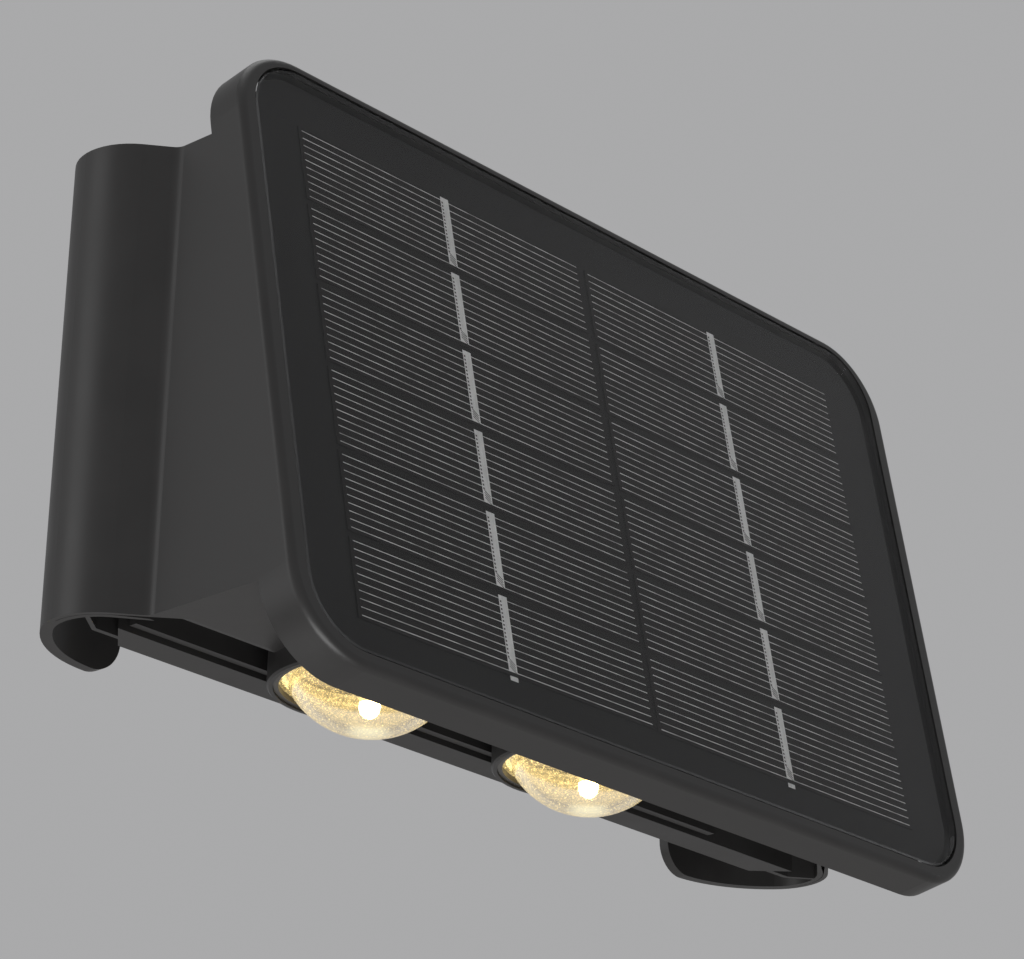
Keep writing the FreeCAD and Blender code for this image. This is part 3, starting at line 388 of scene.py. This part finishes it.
bump(tree, links, shader, tin, 0.4, 0.00003)
finishPiece(strap, mat, "ribbon", "cell_ribbons")

# Dark marks on the ribbons: the toothed rail on the left and the hatched solder pad at the lower end
tooth = {"count": 15, "pitch": 0.65 * mm, "size": (0.32 * mm, 0.30 * mm, 0.03 * mm), "inset": 0.28 * mm,
         "rise": 1.2 * mm}
pad = {"drop": 5.6 * mm, "size": (1.5 * mm, 0.14 * mm, 0.03 * mm), "count": 4, "pitch": 0.42 * mm,
       "slant": math.radians(35)}
toothX = columnX - ribbon["width"] / 2 + tooth["inset"]
toothY = bottomRow - tooth["count"] / 2 * tooth["pitch"] + tooth["rise"]
teeth = bar("tooth", (toothX, toothY, ribbonTop), tooth["size"])
repeat(teeth, tooth["count"], (0, tooth["pitch"], 0))
padY = bottomRow - pad["drop"]
slots = bar("padSlot", (columnX, padY, ribbonTop), pad["size"])
pick(slots)
bpy.ops.transform.rotate(value=pad["slant"], orient_axis="Z", center_override=(columnX, padY, 0))
bpy.ops.object.transform_apply(location=True, rotation=True, scale=True)
repeat(slots, pad["count"], (0, pad["pitch"], 0))
teeth = merge("teeth", [teeth, slots])
repeat(teeth, cell["rows"], (0, cell["pitch"], 0))
teeth = columns("ribbonTeeth", teeth)
finishPiece(teeth, mottled("ribbonShade", (0.03, 0.03, 0.03), (0.09, 0.09, 0.09), 800.0, 0.6), "ribbon")
print("ribbons done")

# Domes of the lamps: a ball cut at the rim, drawn up into a neck and flange and given a wall
dome = {"ball": 13.85 * mm, "segments": 96, "rings": 64, "drop": 6.6 * mm, "radius": 11.8 * mm,
        "neck": 1.2 * mm, "flangeRadius": 14.0 * mm, "flange": 1.9 * mm, "wall": 1.6 * mm, "ior": 1.45,
        "warm": (1.0, 0.95, 0.84), "clear": (1.0, 0.98, 0.94), "rough": (0.03, 0.2)}
# painted glow: the domes' emission paints the bulbs' light in the polymer as golden glints on the speckle,
# stronger towards the rim
dustAndGlow = {"scale": 4200.0, "between": (0.06, 0.045, 0.02), "gold": (1.0, 0.76, 0.28), "low": 0.7, "high": 1.8,
        "fadeDrop": 4.5 * mm}
# painted glow: the pale crescent painted at each dome's tip
paintedCrescent = {"colour": (0.44, 0.40, 0.24), "start": 6.05 * mm, "full": 6.5 * mm}
domes = []
for x in lamps["places"]:
    obj = cutBall(x, lamps["rim"] + dome["ball"] - dome["drop"], lamps["rim"], dome)
    drawUp(x, dome["neck"], dome["flangeRadius"] / dome["radius"], dome["flange"])
    bpy.ops.object.mode_set(mode="OBJECT")
    wall = obj.modifiers.new("wall", "SOLIDIFY")
    wall.thickness = dome["wall"]
    wall.offset = -1
    bpy.ops.object.modifier_apply(modifier=wall.name)
    bpy.ops.object.shade_smooth_by_angle(angle=smoothAngle)
    domes.append(obj)
domePiece = merge("lensDomes", domes)
mat, tree, links, shader = newMaterial("domePolymer")
vector = objectCoords(tree, links)
speck = noise(tree, links, vector, dustAndGlow["scale"], 2.0)
cloud = noise(tree, links, vector, 60.0)
links.new(ramp(tree, links, cloud, [(0.3, dome["warm"]), (0.7, dome["clear"])]), shader.inputs["Base Color"])
links.new(mapRange(tree, links, speck, 0.5, 0.72, *dome["rough"]), shader.inputs["Roughness"])
bump(tree, links, shader, speck, 0.05, 0.0001)
shader.inputs["Transmission Weight"].default_value = 1.0
shader.inputs["IOR"].default_value = dome["ior"]
# painted glints: the golden specks glow by emission
paintedGlints = ramp(tree, links, speck, [(0.59, dustAndGlow["between"]), (0.68, dustAndGlow["gold"])])
height = splitZ(tree, links, vector)
paintedCrescentMix = tree.new("ShaderNodeMix")   # painted glow: a pale crescent painted at the tip
paintedCrescentMix.data_type = "RGBA"
tipStart, tipFull = lamps["rim"] - paintedCrescent["start"], lamps["rim"] - paintedCrescent["full"]
links.new(mapRange(tree, links, height, tipStart, tipFull, 0, 1), paintedCrescentMix.inputs[0])
links.new(paintedGlints, paintedCrescentMix.inputs[6])
paintedCrescentMix.inputs[7].default_value = (*paintedCrescent["colour"], 1)
links.new(paintedCrescentMix.outputs[2], shader.inputs["Emission Color"])
# painted glow: the emission grows stronger towards the rim
fadeStart = lamps["rim"] - dustAndGlow["fadeDrop"]
paintedRimGlow = mapRange(tree, links, height, fadeStart, lamps["rim"], dustAndGlow["low"], dustAndGlow["high"])
links.new(paintedRimGlow, shader.inputs["Emission Strength"])
finishPiece(domePiece, mat, "lens", "lenses")

# Lit bulbs that hang from the boards into the domes
bulb = {"ball": 1.5 * mm, "segments": 32, "rings": 16, "collarRadius": 2.1 * mm, "collar": 1.0 * mm,
        "top": 3.7 * mm, "tip": -3.8 * mm, "body": (0.9, 0.75, 0.4, 1), "amber": (1.0, 0.72, 0.30),
        "warm": (1.0, 0.80, 0.42), "power": (50.0, 0.7), "glowDrop": (2.4 * mm, 1.6 * mm)}
bulbs = []
for x in lamps["places"]:
    middle = lamps["rim"] + bulb["tip"] + bulb["ball"]
    obj = cutBall(x, middle, middle, bulb)
    neck = lamps["rim"] + bulb["top"] - bulb["collar"] - middle
    drawUp(x, neck, bulb["collarRadius"] / bulb["ball"], bulb["collar"])
    bpy.ops.mesh.edge_face_add()
    bpy.ops.object.mode_set(mode="OBJECT")
    bpy.ops.object.shade_smooth_by_angle(angle=smoothAngle)
    bulbs.append(obj)
bulbPiece = merge("ledBulbs", bulbs)
mat, tree, links, shader = newMaterial("litBulb")
vector = objectCoords(tree, links)
flicker = noise(tree, links, vector, 300.0)
links.new(ramp(tree, links, flicker, [(0.3, bulb["amber"]), (0.7, bulb["warm"])]), shader.inputs["Emission Color"])
shader.inputs["Base Color"].default_value = bulb["body"]
glowFull, glowEnd = (lamps["rim"] - drop for drop in bulb["glowDrop"])   # only the tip is brightly lit
power = mapRange(tree, links, splitZ(tree, links, vector), glowFull, glowEnd, *bulb["power"])
links.new(power, shader.inputs["Emission Strength"])
finishPiece(bulbPiece, mat, "led", "leds")
setMaterial(["led_boards"], mottled("whiteBoard", (0.24, 0.21, 0.17), (0.52, 0.49, 0.43), 420.0, 0.45))
print("lamps done")

# Cover's screws: domed heads with cross recesses over plain shanks
screw = {"places": [(sx * 66.0 * mm, sz * 22.5 * mm) for sx in (-1, 1) for sz in (-1, 1)], "seat": -2.6 * mm,
         "sides": 32, "headRadius": 2.75 * mm, "head": 1.95 * mm, "round": 0.5 * mm, "roundSteps": 3,
         "shankRadius": 1.4 * mm, "shank": 9.0 * mm, "slot": (3.1 * mm, 0.75 * mm, 1.3 * mm)}
slotLong, slotWide, slotDeep = screw["slot"]
headTop = screw["seat"] + screw["head"]
screwObjs = []
for x, z in screw["places"]:
    deselectAll()
    bpy.ops.mesh.primitive_cylinder_add(vertices=screw["sides"], radius=screw["headRadius"], depth=screw["head"],
                                        location=(x, screw["seat"] + screw["head"] / 2, z),
                                        rotation=(math.radians(-90), 0, 0))
    obj = active()
    bpy.ops.object.transform_apply(location=True, rotation=True, scale=True)
    editMode(obj)
    choose(obj, "FACE", lambda co: near(co.y, headTop))
    bpy.ops.mesh.bevel(offset=screw["round"], segments=screw["roundSteps"], affect="EDGES")
    choose(obj, "FACE", lambda co: near(co.y, screw["seat"]))
    bpy.ops.mesh.inset(thickness=screw["headRadius"] - screw["shankRadius"])
    bpy.ops.mesh.extrude_region_move(TRANSFORM_OT_translate={"value": (0, -screw["shank"], 0)})
    bpy.ops.object.mode_set(mode="OBJECT")
    cutters = [bar("cutter", (x, headTop, z), size)
               for size in ((slotLong, slotDeep, slotWide), (slotWide, slotDeep, slotLong))]
    cutter = merge("cutter", cutters)
    pick(obj)
    cut = obj.modifiers.new("cross", "BOOLEAN")
    cut.operation = "DIFFERENCE"
    cut.use_self = True
    cut.object = cutter
    bpy.ops.object.modifier_apply(modifier=cut.name)
    bpy.data.objects.remove(cutter)
    pick(obj)
    bpy.ops.object.shade_smooth_by_angle(angle=smoothAngle)
    screwObjs.append(obj)
screwPiece = merge("coverScrewHeads", screwObjs)
finishPiece(screwPiece, steel, "screw", "cover_screws")
print("screws done")

# Camera where the photo was taken from
view = {"place": (-0.39327, -0.37554, -0.21345), "right": (0.67408, -0.73830, 0.02281),
        "up": (-0.29729, -0.24291, 0.92337), "back": (-0.67618, -0.62921, -0.38323), "lens": 128.29,
        "sensor": 36.0, "clip": (0.01, 50.0)}
cameraData = bpy.data.cameras.new("photoCamera")
camera = bpy.data.objects.new("photoCamera", cameraData)
bpy.context.scene.collection.objects.link(camera)
axes = Matrix([view["right"], view["up"], view["back"]]).transposed().to_4x4()
camera.matrix_world = Matrix.Translation(view["place"]) @ axes
cameraData.sensor_fit = "HORIZONTAL"
cameraData.sensor_width = view["sensor"]
cameraData.lens = view["lens"]
cameraData.clip_start, cameraData.clip_end = view["clip"]
bpy.context.scene.camera = camera
bpy.context.scene.view_settings.view_transform = "Standard"

# Floor, world and softboxes
studio = {"floorHeight": -0.9, "floorSize": 8.0, "worldColour": (0.40, 0.40, 0.405),
          "floorTones": ((0.70, 0.69, 0.68), (0.74, 0.73, 0.72)), "floorRough": 0.9}
deselectAll()
bpy.ops.mesh.primitive_plane_add(size=studio["floorSize"], location=(0, 0, studio["floorHeight"]))
floor = active()
floor.name = "floor"
bpy.ops.object.transform_apply(location=True, rotation=True, scale=True)
mat, tree, links, shader = newMaterial("paleFloor")
floorTone = noise(tree, links, objectCoords(tree, links), 1.5)
floorDark, floorLight = studio["floorTones"]
links.new(ramp(tree, links, floorTone, [(0.3, floorDark), (0.7, floorLight)]), shader.inputs["Base Color"])
shader.inputs["Roughness"].default_value = studio["floorRough"]
floor.data.materials.append(mat)

world = bpy.data.worlds.new("studio")
bpy.context.scene.world = world
world.use_nodes = True
background = world.node_tree.nodes["Background"]
background.inputs["Color"].default_value = (*studio["worldColour"], 1)
background.inputs["Strength"].default_value = 1.0


def softLight(name, place, size, power):
    # an area light that faces the object
    data = bpy.data.lights.new(name, "AREA")
    data.shape = "RECTANGLE"
    data.size, data.size_y = size
    data.energy = power
    lamp = bpy.data.objects.new(name, data)
    bpy.context.scene.collection.objects.link(lamp)
    lamp.location = place
    lamp.rotation_euler = (-Vector(place)).to_track_quat("-Z", "Y").to_euler()


softboxes = {"sideSoftbox": {"place": (-1.15, 0.45, 0.15), "size": (0.7, 1.1), "power": 3.0},
             "lowSoftbox": {"place": (-0.35, -0.3, -0.8), "size": (0.9, 0.6), "power": 8.5},
             "topSoftbox": {"place": (0.1, 0.2, 1.3), "size": (0.9, 0.9), "power": 4}}
for name, box in softboxes.items():
    softLight(name, **box)
print("studio done")
